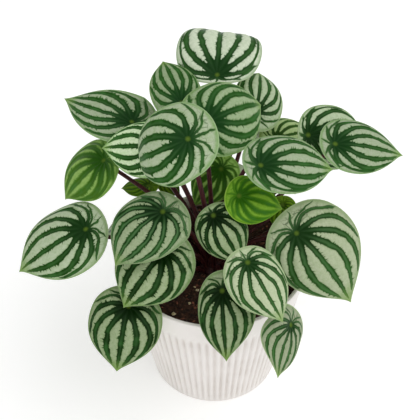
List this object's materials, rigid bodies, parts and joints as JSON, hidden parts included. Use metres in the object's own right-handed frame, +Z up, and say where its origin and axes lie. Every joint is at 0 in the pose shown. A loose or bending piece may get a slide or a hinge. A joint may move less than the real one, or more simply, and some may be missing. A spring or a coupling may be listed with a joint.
{
  "type": "potted watermelon peperomia",
  "caption": "Potted peperomia: round shield-like leaves with silver and green stripes on thin red stalks, in a fluted white pot of soil.",
  "frame": {"origin": "centre of the pot's underside, on the surface that it stands on", "axes": "+Z up through the pot's axis; -Y towards the plant's front; +X to the right as seen from the front"},
  "size_m": [0.2744, 0.2623, 0.2512],
  "materials": {
    "pot_white": "satin",
    "potting_soil": "matt and crumbly",
    "leaf_stalk": "smooth satin",
    "leaf_striped": "satin, with silver bands between dark green veins",
    "leaf_young": "satin, with yellow-green bands between dark green veins"
  },
  "bodies": {
    "root": {"pot": "pot_white", "soil": "potting_soil", "stems": "leaf_stalk", "leaf_01": "leaf_striped", "leaf_02": "leaf_striped", "leaf_03": "leaf_striped", "leaf_04": "leaf_striped", "leaf_05": "leaf_striped", "leaf_06": "leaf_striped", "leaf_07": "leaf_young", "leaf_08": "leaf_striped", "leaf_09": "leaf_striped", "leaf_10": "leaf_striped", "leaf_11": "leaf_striped", "leaf_12": "leaf_striped", "leaf_13": "leaf_striped", "leaf_14": "leaf_striped", "leaf_15": "leaf_striped", "leaf_16": "leaf_striped", "leaf_17": "leaf_striped", "leaf_18": "leaf_striped", "leaf_19": "leaf_striped", "leaf_20": "leaf_striped", "leaf_21": "leaf_striped", "leaf_22": "leaf_young", "leaf_23": "leaf_young", "leaf_24": "leaf_young", "leaf_25": "leaf_young", "leaf_26": "leaf_young", "leaf_27": "leaf_striped", "leaf_28": "leaf_striped", "leaf_29": "leaf_striped", "leaf_30": "leaf_striped", "leaf_31": "leaf_striped", "leaf_32": "leaf_striped", "leaf_33": "leaf_striped", "leaf_34": "leaf_striped", "leaf_35": "leaf_striped"}
  },
  "joints": []
}
